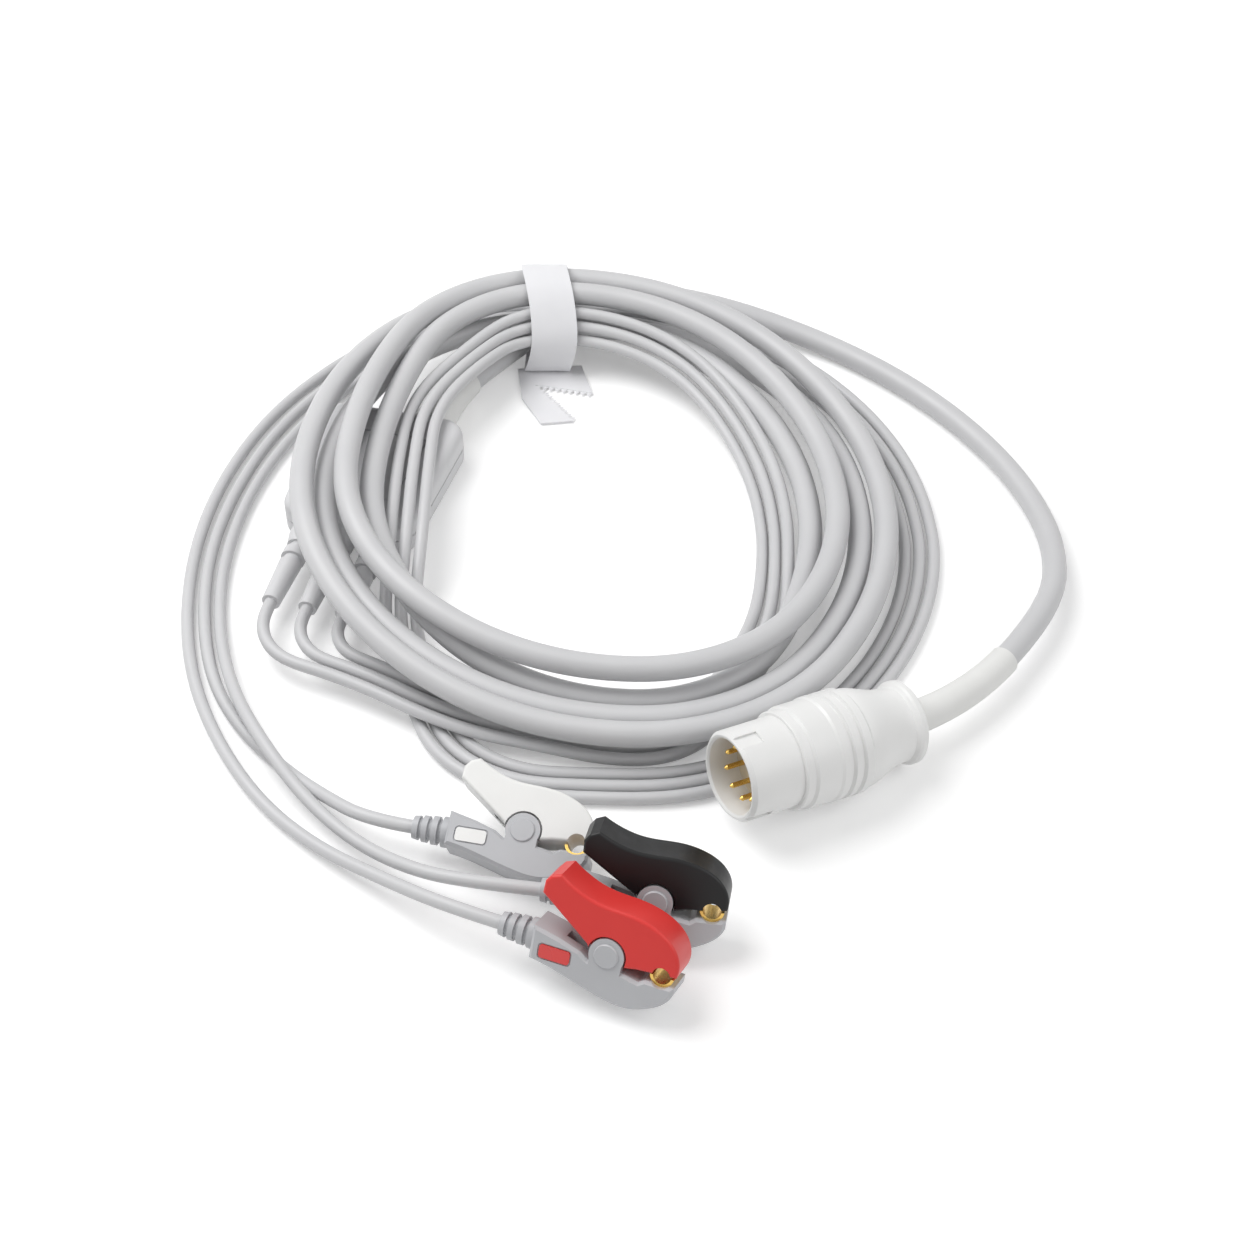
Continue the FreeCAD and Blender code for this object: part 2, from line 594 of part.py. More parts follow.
stations = [(TRUNK_SLEEVE_END + trunk_leaving * TRUNK_D, trunk_leaving)]
for number, (tie, right, front, left) in enumerate(TRUNK_TURNS):
    tie_x = TIE_X if number else TRUNK_FIRST_X
    stations.append((V(tie_x, *tie), V(1, 0, 0)))
    stations.append((V(right[0], RIGHT_Y, right[1]), V(0, -1, 0)))
    stations.append((V(FRONT_X, *front), V(-1, 0, 0)))
    stations.append((V(left[0], LEFT_Y, left[1]), V(0, 1, 0)))
stations.append((V(TIE_X, *TRUNK_END), V(1, 0, 0)))
trunk_coil = wound(stations, TRUNK_D)
save_cord("trunk_coil", trunk_coil, TRUNK_D, True)
coils = [(trunk_coil, TRUNK_D)]

trunk_tail = [V(TIE_X + TRUNK_D, *TRUNK_END)] + [V(*p) for p in TRUNK_TAIL]
trunk_tail += [plug_sleeve_end + plug_arriving * 20.0, plug_sleeve_end]
save_cord("trunk_tail", laid(trunk_tail, "trunk_tail"), TRUNK_D, False)


# Leads: each from its sleeve twice round with the coil, then its tail to the clip

for lead, side in LEAD_SIDE.items():
    leaving = level(YOKE_HEADING)
    stations = [(lead_starts[lead] + leaving * LEAD_D, leaving)]
    for x, y, z, heading, spread, rise in LEAD_RIBBON:
        outward = level(heading - 90)
        stations.append((V(x, y, z) + outward * (side * spread) + UP * (side * rise), level(heading)))
    lead_coil = wound(stations, LEAD_D)
    save_cord("lead_%s_coil" % lead, lead_coil, LEAD_D, True)
    coils.append((lead_coil, LEAD_D))
    end, nose = lead_ends[lead]
    tail = [stations[-1][0] + stations[-1][1] * LEAD_D] + [V(*p) for p in LEAD_TAILS[lead]]
    tail += [end - nose * LEAD_APPROACH[lead], end]
    save_cord("lead_%s_tail" % lead, laid(tail, "lead_%s_tail" % lead), LEAD_D, False)


# Cable tie: a band round the outer strands, drawn as (y, z) and drawn out along X, and its flat end

def tie_strands(sections):
    """Middle and radius of each strand where it crosses the tie's two edges and its middle."""
    strands = []
    for edges, diameter in coils:
        points = [p for _, p in walk(edges, 0.4) if p.y > 80]
        for one, two in zip(points, points[1:]):
            for x in sections:
                if min(one.x, two.x) <= x < max(one.x, two.x):
                    middle = (one + two) * 0.5
                    strands.append((middle.y, middle.z, diameter / 2))
    return strands


def band_arcs(strands):
    """The strands that a tight band touches, in order, each with the angle where it leaves."""
    touched = []
    for step in range(720):
        a = math.radians(step / 2)
        best = max(strands, key=lambda s: s[0] * math.cos(a) + s[1] * math.sin(a) + s[2])
        if not touched or touched[-1] != best:
            touched.append(best)
    if touched[0] == touched[-1]:
        touched.pop()
    leave = []
    for one, two in zip(touched, touched[1:] + touched[:1]):
        dy = two[0] - one[0]
        dz = two[1] - one[1]
        apart = math.hypot(dy, dz)
        leave.append(math.atan2(dz, dy) - math.acos((one[2] - two[2]) / apart))
    return touched, leave


def band_wire(touched, leave, extra, x):
    def spot(strand, angle):
        r = strand[2] + extra
        return V(x, strand[0] + r * math.cos(angle), strand[1] + r * math.sin(angle))
    edges = []
    for i, strand in enumerate(touched):
        start = leave[i - 1]
        end = leave[i]
        while end < start:
            end += 2 * math.pi
        middle = (start + end) / 2
        arc = Part.Arc(spot(strand, start), spot(strand, middle), spot(strand, end))
        edges.append(arc.toShape())
        following = touched[(i + 1) % len(touched)]
        edges.append(Part.LineSegment(spot(strand, end), spot(following, end)).toShape())
    return Part.Wire(edges)


tie_x0 = TIE_X - 1.0 - TIE_WIDTH / 2
touched, leave = band_arcs(tie_strands([tie_x0 - 0.4, tie_x0 + TIE_WIDTH / 2, tie_x0 + TIE_WIDTH + 0.4]))
outer_band = Part.Face(band_wire(touched, leave, TIE_CLEAR + TIE_THICK, tie_x0))
inner_band = Part.Face(band_wire(touched, leave, TIE_CLEAR, tie_x0))
band = outer_band.cut(inner_band).extrude(V(TIE_WIDTH, 0, 0))
flat_end = prism([
    (tie_x0, 102.0), (tie_x0, 96.0), (-27.2, 90.6), (-25.8, 78.4), (-20.7, 68.4), (-12.1, 69.7),
    (-7.5, 80.2), (-10.6, 92.0), (tie_x0 + TIE_WIDTH, 96.0), (tie_x0 + TIE_WIDTH, 102.0),
], 0.1, 0.85)
save("cable_tie", band.fuse(flat_end).removeSplitter())
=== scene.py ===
import math

import bmesh
import bpy
from mathutils import Matrix, Vector


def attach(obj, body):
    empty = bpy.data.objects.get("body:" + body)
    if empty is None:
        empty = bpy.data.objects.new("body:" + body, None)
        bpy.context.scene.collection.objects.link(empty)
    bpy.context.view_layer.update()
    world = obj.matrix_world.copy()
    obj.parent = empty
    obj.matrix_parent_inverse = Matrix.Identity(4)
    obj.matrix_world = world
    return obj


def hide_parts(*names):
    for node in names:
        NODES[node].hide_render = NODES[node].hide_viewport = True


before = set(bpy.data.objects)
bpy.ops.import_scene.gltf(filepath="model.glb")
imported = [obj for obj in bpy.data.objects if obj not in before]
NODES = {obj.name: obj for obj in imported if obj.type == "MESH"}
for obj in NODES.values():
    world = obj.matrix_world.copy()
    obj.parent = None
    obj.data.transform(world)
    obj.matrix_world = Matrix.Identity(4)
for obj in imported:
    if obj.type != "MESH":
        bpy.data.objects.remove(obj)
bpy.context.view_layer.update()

# %% [markdown]
# A patient cable lies on a table: a round plug, a long grey cord wound into an oval coil, a flat
# yoke where the cord splits, and three slim leads that end in coloured spring clips. The picture
# was taken from in front at about 45 degrees, so the camera comes first. The layout below is drawn
# as the picture shows it (x right, y away), and one function turns it into the model's own frame.

# %% Camera
# Layout lengths are millimetres. The lens is given by the picture's own focal length in pixels.
LAYOUT_TURN = math.radians(-29.0)
LAYOUT_SHIFT = Vector((2.63, -8.44, 0.0))
VIEW_HEIGHT = math.radians(45.0)
VIEW_DISTANCE = 500.0
FOCAL_PIXELS = 2250.0
IMAGE_PIXELS = 1250.0
SENSOR = 36.0
NEAREST_SEEN = 0.01


def direction(v):
    """A layout direction in the model's frame."""
    return Matrix.Rotation(LAYOUT_TURN, 3, "Z") @ Vector(v)


def place(p):
    """A layout point in millimetres as a point of the model in metres."""
    return (direction(p) + LAYOUT_SHIFT) / 1000


eye = Vector((0, -VIEW_DISTANCE * math.cos(VIEW_HEIGHT), VIEW_DISTANCE * math.sin(VIEW_HEIGHT)))
camera = bpy.data.objects.new("camera", bpy.data.cameras.new("camera"))
camera.data.sensor_fit = "HORIZONTAL"
camera.data.sensor_width = SENSOR
camera.data.lens = FOCAL_PIXELS / IMAGE_PIXELS * SENSOR
camera.data.clip_start = NEAREST_SEEN
camera.location = place(eye)
camera.rotation_euler = direction(-eye).to_track_quat("-Z", "Y").to_euler()
bpy.context.scene.collection.objects.link(camera)
bpy.context.scene.camera = camera
print("camera lens", round(camera.data.lens, 1), "mm")

# %% [markdown]
# Every finish here is a node tree. One function turns a hex colour into linear light, and one
# small function adds a node, sets it and links its inputs. Moulded plastic is never one flat
# colour: it has a fine spark-eroded grain from the mould, a little cloudiness in its pigment and
# patches that handling has polished. A picture of plastic could be wrapped round every piece, but
# it would blur close up, so three noise textures, at sizes in millimetres, make all the plastics.

# %% Node helpers
def linear(code, alpha=1.0):
    """A hex colour as linear light."""
    parts = [int(code[i:i + 2], 16) / 255 for i in (1, 3, 5)]
    return [c / 12.92 if c <= 0.04045 else ((c + 0.055) / 1.055) ** 2.4 for c in parts] + [alpha]


def add(tree, kind, inputs=None, **settings):
    """Adds a node, sets its properties, and sets or links its inputs."""
    made = tree.nodes.new(kind)
    for key, value in settings.items():
        setattr(made, key, value)
    for socket, value in (inputs or {}).items():
        if isinstance(value, bpy.types.NodeSocket):
            tree.links.new(value, made.inputs[socket])
        else:
            made.inputs[socket].default_value = value
    return made


def per_mm(size):
    """The texture scale that gives a pattern of this size in millimetres."""
    return 1000.0 / size


print("a 10 mm pattern has scale", per_mm(10.0), "and mid grey is", round(linear("#808080")[0], 3))

# %% Moulded plastic
# Mould grain is really about 0.05 mm, too fine to show here, so it is drawn at 0.35 mm or more.
PLASTIC_IOR = 1.5
POLISHED, DULL = -0.05, 0.06
NOISE_LOW, NOISE_HIGH = 0.3, 0.7
POLISH_PATCH = 0.6
GRAIN_STRENGTH = 0.35
CLOUD_DETAIL, POLISH_DETAIL, GRAIN_DETAIL = 4.0, 2.0, 3.0
COAT_ROUGHNESS = 0.15


def moulded(name, code, shade, rough, grain=0.35, depth=0.006, specular=0.5, coat=0.0, cloud=9.0):
    """Plastic from a mould: pigment clouds, grain of some depth, and handled patches, in millimetres."""
    material = bpy.data.materials.new(name)
    material.use_nodes = True
    tree = material.node_tree
    shader = tree.nodes["Principled BSDF"]
    where = add(tree, "ShaderNodeTexCoord").outputs["Object"]
    pigment = add(tree, "ShaderNodeTexNoise",
                  {"Vector": where, "Scale": per_mm(cloud), "Detail": CLOUD_DETAIL})
    tint = add(tree, "ShaderNodeMix",
               {"Factor": pigment.outputs["Fac"], "A": linear(code), "B": linear(shade)}, data_type="RGBA")
    patch = per_mm(cloud * POLISH_PATCH)
    polish = add(tree, "ShaderNodeTexNoise", {"Vector": where, "Scale": patch, "Detail": POLISH_DETAIL})
    sheen = add(tree, "ShaderNodeMapRange",
                {"Value": polish.outputs["Fac"], "From Min": NOISE_LOW, "From Max": NOISE_HIGH,
                 "To Min": rough + POLISHED, "To Max": rough + DULL})
    grit = add(tree, "ShaderNodeTexNoise", {"Vector": where, "Scale": per_mm(grain), "Detail": GRAIN_DETAIL})
    bump = add(tree, "ShaderNodeBump",
               {"Height": grit.outputs["Fac"], "Strength": GRAIN_STRENGTH, "Distance": depth / 1000})
    tree.links.new(tint.outputs["Result"], shader.inputs["Base Color"])
    tree.links.new(sheen.outputs["Result"], shader.inputs["Roughness"])
    tree.links.new(bump.outputs["Normal"], shader.inputs["Normal"])
    shader.inputs["IOR"].default_value = PLASTIC_IOR
    shader.inputs["Specular IOR Level"].default_value = specular
    shader.inputs["Coat Weight"].default_value = coat
    shader.inputs["Coat Roughness"].default_value = COAT_ROUGHNESS
    return material


# %% Cord sheath and pale plastics
# Polyurethane drawn over the wires: a soft satin line of light, and a slow drift of grey along it.
SHEATH = moulded("grey_tpu_sheath", "#CECECF", "#C5C5C7", 0.42, grain=0.5, depth=0.008, cloud=14.0)
# Smooth white ABS of the plug: a clear soft highlight on each ring.
WHITE_ABS = moulded("white_abs", "#EDEDEC", "#E6E6E5", 0.36, grain=0.4)
# Soft vinyl of the bend sleeves: duller than the plug, a little warmer.
WHITE_SLEEVE = moulded("white_soft_vinyl", "#EAEAE8", "#DEDEDC", 0.48, grain=0.5)
# Spark-eroded ABS of the yoke: an even matt grey that hides scratches.
YOKE_ABS = moulded("pale_grey_abs", "#D8D8D9", "#CFCFD1", 0.45, grain=0.45, depth=0.01)
# Cooler and darker ABS of the clips' bases, so that the pale levers stand out.
CLIP_GREY = moulded("mid_grey_abs", "#BFC0C3", "#B5B6B9", 0.4, grain=0.4)
# Moulded nylon round the pins: the warm cream of plastic with no pigment.
IVORY = moulded("ivory_nylon", "#E6DCC6", "#DCD0B8", 0.4, grain=0.4)
print("pale plastics from", SHEATH.name, "to", IVORY.name)

# %% Coloured plastics
# Levers of polished ABS: smooth broad highlights, held low on black and red so the colour stays deep.
LEVER_WHITE = moulded("white_lever_abs", "#F0F0EE", "#E5E5E3", 0.34, grain=0.4)
LEVER_BLACK = moulded("black_lever_abs", "#131314", "#19191A", 0.36, grain=0.4, specular=0.3)
LEVER_RED = moulded("red_lever_abs", "#E2403C", "#D83734", 0.34, grain=0.4, specular=0.35)
# Glossy vinyl plates: a thin clear coat gives them a sharper light than the clip round them.
PLATE_WHITE = moulded("white_gloss_vinyl", "#F2F2F0", "#EBEBE9", 0.25, grain=0.6, depth=0.003, coat=0.3)
PLATE_RED = moulded("red_gloss_vinyl", "#E2413E", "#D73835", 0.25, grain=0.6, depth=0.003, coat=0.3)
# Glass-cloth laminate under green resist, and baked lacquer on the resistors, both inside the yoke.
BOARD = moulded("green_laminate", "#2C6B43", "#245A38", 0.35)
LACQUER = moulded("blue_lacquer", "#4F78A0", "#456B90", 0.3)
print("coloured plastics from", LEVER_WHITE.name, "to", LACQUER.name)

# %% [markdown]
# The contacts are gold plate over brass and the springs are drawn steel wire. A glossy yellow or
# grey would look like paint. A metal's colour is the colour of its reflection instead, with a fine
# scatter of roughness from drawing and plating, so both are made that way.

# %% Metals
# Drawing and plating marks are finer than 0.05 mm, too fine to show, so they are drawn at 0.25 mm or more.
METAL_SMOOTH, METAL_DULL = -0.06, 0.08
METAL_GRAIN_STRENGTH = 0.2
METAL_GRAIN_DEPTH = 0.004


def metal(name, code, rough, grain):
    """Bare or plated metal with a fine scatter of roughness."""
    material = bpy.data.materials.new(name)
    material.use_nodes = True
    tree = material.node_tree
    shader = tree.nodes["Principled BSDF"]
    where = add(tree, "ShaderNodeTexCoord").outputs["Object"]
    grit = add(tree, "ShaderNodeTexNoise", {"Vector": where, "Scale": per_mm(grain), "Detail": GRAIN_DETAIL})
    spread = add(tree, "ShaderNodeMapRange",
                 {"Value": grit.outputs["Fac"], "From Min": NOISE_LOW, "From Max": NOISE_HIGH,
                  "To Min": rough + METAL_SMOOTH, "To Max": rough + METAL_DULL})
    bump = add(tree, "ShaderNodeBump",
               {"Height": grit.outputs["Fac"], "Strength": METAL_GRAIN_STRENGTH,
                "Distance": METAL_GRAIN_DEPTH / 1000})
    tree.links.new(spread.outputs["Result"], shader.inputs["Roughness"])
    tree.links.new(bump.outputs["Normal"], shader.inputs["Normal"])
    shader.inputs["Base Color"].default_value = linear(code)
    shader.inputs["Metallic"].default_value = 1.0
    return material


# Gold plate on brass: a warm yellow reflection. Drawn steel: a cool grey one, slightly blurred.
GOLD = metal("gold_plate", "#E3BE6B", 0.28, 0.3)
STEEL = metal("drawn_steel", "#B9BABC", 0.3, 0.25)
print("metals", GOLD.name, "and", STEEL.name)

# %% [markdown]
# The tape that ties the coil is milky polythene film. Clear glass with a tint would show too much
# of the cords, so it is the same plastic as before with a tenth of its light let through.

# %% Film of the tape
FILM_CLEARNESS = 0.1
FILM_IOR = 1.4

# Stretched film: nearly white, satin, with faint ripples across it.
TIE_FILM = moulded("milky_polythene", "#F3F3F5", "#ECECEF", 0.42, grain=1.6, depth=0.004, cloud=6.0)
film_shader = TIE_FILM.node_tree.nodes["Principled BSDF"]
film_shader.inputs["Transmission Weight"].default_value = FILM_CLEARNESS
film_shader.inputs["IOR"].default_value = FILM_IOR
print("film lets through", FILM_CLEARNESS)

# %% [markdown]
# The solids of the plug, yoke and clips already have the real shapes, so they stay as they are and
# only take their finishes. These could be given one by one, but a name already says what its solid
# is, so each finish is matched by the start or the end of a name.

# %% Finishes of the solids
FINISHES = [
    ("yoke_lower", YOKE_ABS), ("yoke_upper", YOKE_ABS), ("yoke_label", YOKE_ABS),
    ("yoke_circuit", BOARD), ("yoke_resistor", LACQUER),
    ("yoke_lead_sleeve", YOKE_ABS), ("yoke_trunk_sleeve", WHITE_SLEEVE),
    ("plug_front", WHITE_ABS), ("plug_step", WHITE_ABS), ("plug_backshell", WHITE_ABS),
    ("plug_insulator", IVORY), ("plug_pin", GOLD), ("plug_sleeve", WHITE_SLEEVE),
    ("plug_shield", STEEL), ("plug_crimp", GOLD), ("plug_conductor", LACQUER),
    ("clip_ra_lever", LEVER_WHITE), ("clip_la_lever", LEVER_BLACK), ("clip_ll_lever", LEVER_RED),
    ("clip_ll_label", PLATE_RED), ("cable_tie", TIE_FILM),
]
CLIP_FINISHES = [
    ("_base", CLIP_GREY), ("_pivot_pin", CLIP_GREY), ("_spring", STEEL), ("_contact", GOLD),
    ("_strain_relief", CLIP_GREY), ("_label", PLATE_WHITE),
]


def dress(obj, material):
    """Gives an object this finish alone."""
    obj.data.materials.clear()
    obj.data.materials.append(material)


dressed = 0
for name, solid in NODES.items():
    chosen = [m for start, m in FINISHES if name.startswith(start)]
    chosen += [m for end, m in CLIP_FINISHES if name.startswith("clip_") and name.endswith(end)]
    if chosen:
        dress(solid, chosen[0])
        dressed += 1
print("dressed", dressed, "of", len(NODES), "solids")

# %% [markdown]
# The cords are limp tubes. Each could be a mesh, but a curve keeps its thickness wherever its points
# are moved, so each is one smooth NURBS line with a round bevel. The trunk leaves the yoke, goes
# four times round the coil, leaves the tie and runs round to the plug. A turn is drawn by where it
# crosses four lines (tie, right, front, left); between two crossings the line swings through two
# arcs that meet smoothly, and a loop works out the control points on them.

# %% Coil points
STRAIGHT = 1e-9
NO_SWING = 1e-4
ARC_STEPS = 5


def biarc_points(p0, t0, p1, t1, count):
    """Points on the two arcs from p0 along t0 to p1 along t1, without the last."""
    v = p1 - p0
    b = v.dot(t0 + t1)
    k = 2 * (1 - t0.dot(t1))
    if k < STRAIGHT:
        reach = v.dot(v) / (4 * v.dot(t0))
    else:
        reach = (math.sqrt(b * b + k * v.dot(v)) - b) / k
    joint = (p0 + t0 * reach + p1 - t1 * reach) / 2
    heading = (p1 - t1 * reach - p0 - t0 * reach).normalized()
    points = []
    for start, along, end in ((p0, t0, joint), (joint, heading, p1)):
        chord = end - start
        swing = chord.angle(along)
        inward = (chord.normalized() - along * math.cos(swing)).normalized()
        radius = chord.length / (2 * math.sin(swing)) if swing > NO_SWING else 0.0
        for i in range(count):
            a = 2 * swing * i / count
            if radius:
                points.append(start + inward * radius * (1 - math.cos(a)) + along * radius * math.sin(a))
            else:
                points.append(start + chord * i / count)
    return points


def coil_points(stations):
    """Control points of a coil from where it crosses each line and the way it heads there."""
    points = []
    for (p0, t0), (p1, t1) in zip(stations, stations[1:]):
        points += biarc_points(p0, t0, p1, t1, ARC_STEPS)
    return points + [stations[-1][0]]


def level(angle):
    """The level direction at this angle in degrees."""
    a = math.radians(angle)
    return Vector((math.cos(a), math.sin(a), 0))


print("points in a quarter turn", 2 * ARC_STEPS)

# %% Cord maker
CORD_ORDER = 3
CORD_STEPS = 6
BEVEL_STEPS = 6


def cord_curve(name, points, diameter):
    """One open NURBS spline with a round bevel, from layout points in millimetres."""
    curve = bpy.data.curves.new(name, "CURVE")
    curve.dimensions = "3D"
    spline = curve.splines.new("NURBS")
    spline.points.add(len(points) - 1)
    for point, p in zip(spline.points, points):
        point.co = (*place(p), 1.0)
    spline.order_u = CORD_ORDER
    spline.use_endpoint_u = True
    spline.resolution_u = CORD_STEPS
    curve.bevel_depth = diameter / 2 / 1000
    curve.bevel_resolution = BEVEL_STEPS
    curve.use_fill_caps = True
    made = bpy.data.objects.new(name, curve)
    bpy.context.scene.collection.objects.link(made)
    curve.materials.append(SHEATH)
    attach(made, "cable")
    return made


print("cord sides", 4 + 2 * BEVEL_STEPS)

# %% Yoke and plug ends of the trunk
TRUNK_D = 5.5
YOKE_AT = Vector((-64.0, 24.0, 0.0))
YOKE_AXIS = level(76.0)
YOKE_SIDE = level(166.0)
YOKE_MID = Vector((0, 0, 5.4))
YOKE_LENGTH = 40.0
TRUNK_OFFSET = 8.0
SLEEVE_END = Vector((-38.2, 79.6, 4.7))

PLUG_TILT = math.radians(8.0)
PLUG_AXIS = level(29.0) * math.cos(PLUG_TILT) - Vector((0, 0, math.sin(PLUG_TILT)))
PLUG_GRIP_AT = Vector((41.5, -46.4, 11.62))
RIM_TO_GRIP = 24.0
RIM_TO_COLLAR = 43.0
PLUG_SLEEVE = 31.0
PLUG_SLEEVE_WAY = level(40.5) - Vector((0, 0, 0.075))


def far_heading(chord, heading):
    """The way an arc heads at its end, from its chord and the way it heads at its start."""
    return chord * (2 * chord.dot(heading)) - heading


sleeve_base = YOKE_AT + YOKE_AXIS * YOKE_LENGTH - YOKE_SIDE * TRUNK_OFFSET + YOKE_MID
leaving = far_heading((SLEEVE_END - sleeve_base).normalized(), YOKE_AXIS)

plug_rim = PLUG_GRIP_AT - PLUG_AXIS * RIM_TO_GRIP
collar = plug_rim + PLUG_AXIS * RIM_TO_COLLAR
sleeve_way = PLUG_SLEEVE_WAY.normalized()
plug_end = collar + sleeve_way * PLUG_SLEEVE
arriving = far_heading(sleeve_way, PLUG_AXIS)
print("trunk leaves along", [round(v, 2) for v in leaving])
print("and meets the plug along", [round(v, 2) for v in arriving])

# %% Trunk
TIE_X, RIGHT_Y, FRONT_X, LEFT_Y = -17.0, 28.0, 3.0, 30.0
# Each turn crosses the tie, right, front and left lines at this reach and height
TRUNK_TURNS = [
    ((103.0, 3.8), (53.8, 6.2), (-35.4, 7.6), (-68.2, 15.4)),
    ((97.4, 9.7), (42.4, 6.5), (-29.4, 6.2), (-57.4, 16.0)),
    ((99.4, 17.3), (48.4, 11.2), (-27.4, 14.2), (-62.8, 22.0)),
    ((105.9, 16.7), (59.6, 8.4), (-41.4, 9.2), (-72.8, 20.2)),
]
TRUNK_FIRST_X = -12.0
PLUG_APPROACH = 20.0
TRUNK_END = (108.2, 10.4)
TRUNK_TAIL = [
    (9.0, 108.2, 10.4), (30.0, 106.5, 5.6), (51.0, 97.0, 2.9), (68.5, 82.0, 2.9),
    (83.0, 64.0, 2.9), (93.5, 44.0, 2.9), (98.4, 21.5, 3.4),
]
stations = [(SLEEVE_END + leaving * TRUNK_D, leaving)]
for number, (tie, right, front, left) in enumerate(TRUNK_TURNS):
    stations.append((Vector((TIE_X if number else TRUNK_FIRST_X, *tie)), Vector((1, 0, 0))))
    stations.append((Vector((right[0], RIGHT_Y, right[1])), Vector((0, -1, 0))))
    stations.append((Vector((FRONT_X, *front)), Vector((-1, 0, 0))))
    stations.append((Vector((left[0], LEFT_Y, left[1])), Vector((0, 1, 0))))
stations.append((Vector((TIE_X, *TRUNK_END)), Vector((1, 0, 0))))
trunk_points = [SLEEVE_END] + coil_points(stations) + [Vector(p) for p in TRUNK_TAIL]
trunk_points += [plug_end + arriving * PLUG_APPROACH, plug_end]
trunk = cord_curve("trunk_cord", trunk_points, TRUNK_D)
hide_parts("trunk_coil", "trunk_tail")

# %% [markdown]
# The three leads run side by side like a ribbon. Each starts in its sleeve at the yoke, goes twice
# round with the coil, leaves the tie on the outside and sweeps round the left of the coil along
# the table to its clip. Three coils drawn apart would soon cross by mistake, so one list gives the
# ribbon's middle and spread, each lead takes its lane, and only the tails are drawn one by one.

# %% Routes of the leads
# The ribbon's rows are x, y, z, heading in degrees, spread sideways and rise from lane to lane.
LEAD_D = 2.8
LEAD_PITCH = 8.5
LEAD_SLEEVE = 25.0
LEAD_SIDE = {"ll": 1, "ra": 0, "la": -1}
LEAD_APPROACH = {"ll": 12.0, "ra": 10.0, "la": 12.0}
CLIP_CORD_U, CLIP_CORD_W = -22.5, -1.9
# Each clip's pivot, the heading of its nose, and how far it lies over on its side
CLIPS = {
    "ra": (Vector((-19.8, -67.0, 7.69)), -12.0, 66.0),
    "la": (Vector((6.2, -83.6, 10.45)), -8.0, 27.0),
    "ll": (Vector((-2.2, -96.6, 10.41)), -21.0, 29.0),
}
LEAD_RIBBON = [
    (-47.0, -25.0, 5.1, -32, 3.4, 0.0), (-24.0, -34.4, 4.1, -14, 3.5, 0.0),
    (3.0, -37.6, 1.4, 0, 3.6, 0.0), (27.0, -12.0, 1.4, 62, 3.6, 0.0),
    (34.4, 28.0, 3.3, 90, 2.8, 1.8), (-17.0, 92.6, 12.4, 180, 2.0, 2.7),
    (-42.0, 71.0, 13.2, -122, 3.4, 0.0), (-48.8, 30.0, 13.2, -90, 3.6, 0.0),
    (-45.5, -17.0, 1.5, -68, 3.3, 0.0), (-33.0, -41.0, 1.4, -40, 3.3, 0.0),
    (3.0, -48.6, 1.4, 0, 3.3, 0.0), (43.0, -30.5, 1.4, 45, 3.1, 0.0),
    (67.6, 28.0, 1.4, 90, 3.3, 0.0), (-17.0, 111.8, 2.9, 180, 3.3, 0.0),
]
LEAD_TAILS = {
    "ll": [
        (-37.0, 115.1, 2.9), (-56.0, 105.5, 1.6), (-74.0, 89.0, 1.4), (-87.0, 70.0, 1.4),
        (-95.0, 48.0, 1.4), (-98.5, 26.0, 1.4), (-98.0, 4.0, 1.4), (-94.0, -17.0, 1.4),
        (-86.0, -36.0, 1.4), (-75.0, -53.0, 1.4), (-62.0, -65.5, 2.2), (-48.0, -75.5, 5.0),
    ],
    "ra": [
        (-36.0, 111.8, 2.9), (-54.0, 101.5, 1.6), (-71.5, 85.5, 1.4), (-84.0, 66.5, 1.4),
        (-91.5, 45.0, 1.4), (-95.0, 23.0, 1.4), (-94.0, 2.0, 1.4), (-89.5, -18.0, 1.4),
        (-81.5, -32.5, 1.4), (-71.5, -43.5, 1.6), (-62.0, -53.0, 4.0),
    ],
    "la": [
        (-35.0, 108.5, 2.9), (-52.0, 98.0, 1.6), (-68.5, 82.5, 1.4), (-80.5, 64.0, 1.4),
        (-88.2, 43.0, 1.4), (-91.5, 20.0, 1.4), (-90.0, -2.0, 1.4), (-84.5, -22.0, 3.6),
        (-76.0, -39.5, 6.2), (-65.0, -54.5, 3.8), (-53.5, -66.0, 3.8), (-41.0, -75.0, 6.5),
    ],
}
print("ribbon of", len(LEAD_RIBBON), "crossings and", len(LEAD_TAILS), "tails")

# %% Leads
def clip_axes(heading, lean):
    """The clip's own directions: to its nose and to its lever."""
    u = level(heading)
    facing = level(heading - 90)
    tilt = math.radians(lean)
    up = Vector((0, 0, 1))
    return u, up * math.cos(tilt) - facing * math.sin(tilt)


for lead, side in LEAD_SIDE.items():
    start = YOKE_AT + YOKE_SIDE * (side * LEAD_PITCH) + YOKE_MID - YOKE_AXIS * LEAD_SLEEVE
    stations = [(start - YOKE_AXIS * LEAD_D, -YOKE_AXIS)]
    for x, y, z, heading, spread, rise in LEAD_RIBBON:
        middle = Vector((x, y, z + side * rise)) + level(heading - 90) * (side * spread)
        stations.append((middle, level(heading)))
    pivot, heading, lean = CLIPS[lead]
    u, w = clip_axes(heading, lean)
    end = pivot + u * CLIP_CORD_U + w * CLIP_CORD_W
    points = [start] + coil_points(stations) + [Vector(p) for p in LEAD_TAILS[lead]]
    points += [end - u * LEAD_APPROACH[lead], end]
    cord = cord_curve("lead_%s_cord" % lead, points, LEAD_D)
    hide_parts("lead_%s_coil" % lead, "lead_%s_tail" % lead)

# %% [markdown]
# The band round the coil is plain film tape. It could be a box-shaped ring, but real tape is
# slack and follows the bundle, so a closed NURBS line is drawn round the cords and the film's
# four corners are carried along it. The band leans a little, as tape put on by hand does.

# %% Film helpers
FILM_CREASE = math.radians(35.0)


